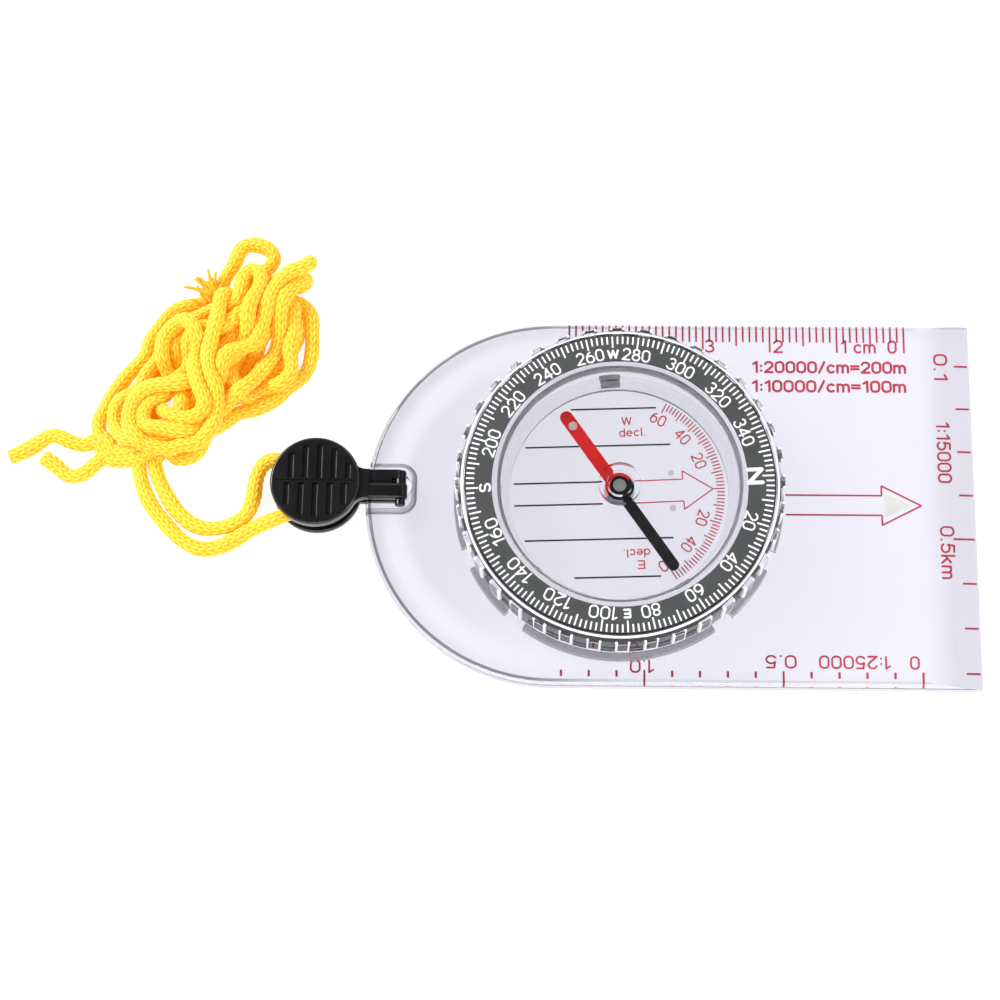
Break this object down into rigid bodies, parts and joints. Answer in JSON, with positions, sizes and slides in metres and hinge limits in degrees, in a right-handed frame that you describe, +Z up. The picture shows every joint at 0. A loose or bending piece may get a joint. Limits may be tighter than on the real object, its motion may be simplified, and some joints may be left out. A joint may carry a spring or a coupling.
{
  "type": "baseplate compass",
  "caption": "Clear baseplate compass with a turning graduated bezel, a liquid-filled needle capsule, a hinged clip through the tail hole and a loose yellow lanyard.",
  "frame": {"origin": "on the dial's axis, at the underside of the base plate", "axes": "+X along the plate in the direction of travel, +Y to its left, +Z up through the dial"},
  "size_m": [0.1429, 0.0693, 0.0122],
  "materials": {
    "plate_acrylic": "clear, polished, faint lavender tint",
    "collar_clear": "clear, slightly frosted",
    "wear_ring": "matte",
    "bezel_clear": "clear, polished",
    "ring_grey": "satin dark grey with printed white scale",
    "capsule_clear": "clear, polished",
    "gasket": "matte",
    "lens_clear": "clear, polished",
    "plug_grey": "matte",
    "luminous": "matte luminous paint",
    "steel": "ground",
    "needle_paint": "gloss red at the north end, black at the south end",
    "hub_plastic": "gloss",
    "jewel": "polished",
    "clip_black": "gloss black",
    "print_red": "printed ink",
    "print_white": "printed ink",
    "print_black": "printed ink",
    "cord_yellow": "braided, matte"
  },
  "bodies": {
    "base": {"base_plate": "plate_acrylic", "retaining_collar": "collar_clear", "friction_ring": "wear_ring"},
    "dial": {"bezel": "bezel_clear", "graduated_ring": "ring_grey", "capsule_housing": "capsule_clear", "lens_gasket": "gasket", "capsule_lens": "lens_clear", "capsule_floor": "capsule_clear", "filler_plug": "plug_grey", "north_pips": "luminous", "pivot_pin": "steel"},
    "needle": {"needle": "needle_paint", "needle_hub": "hub_plastic", "jewel_bearing": "jewel", "lume_dot": "luminous"},
    "clip_lower": {"clip_lower_leaf": "clip_black", "clip_hinge_pin": "clip_black", "lanyard_upper_strand": "cord_yellow", "lanyard_lower_strand": "cord_yellow", "lanyard_long_tail": "cord_yellow", "lanyard_short_tail": "cord_yellow", "lanyard_bundle": "cord_yellow"},
    "clip_upper": {"clip_upper_leaf": "clip_black", "clip_stud": "clip_black"}
  },
  "joints": [
    {"name": "dial_turn", "type": "hinge", "parent": "base", "child": "dial", "pos_m": [0, 0, 0], "axis": [0, 0, 1], "continuous": true},
    {"name": "needle_swing", "type": "hinge", "parent": "dial", "child": "needle", "pos_m": [0, 0, 0], "axis": [0, 0, 1], "continuous": true},
    {"name": "clip_swing", "type": "hinge", "parent": "base", "child": "clip_lower", "pos_m": [-0.0321, 0.0019, 0], "axis": [0, 0, 1], "range_deg": [-18, 18]},
    {"name": "clip_open", "type": "hinge", "parent": "clip_lower", "child": "clip_upper", "pos_m": [-0.0319, 0.0019, 0.00395], "axis": [0, 1, 0], "range_deg": [0, 90]}
  ]
}
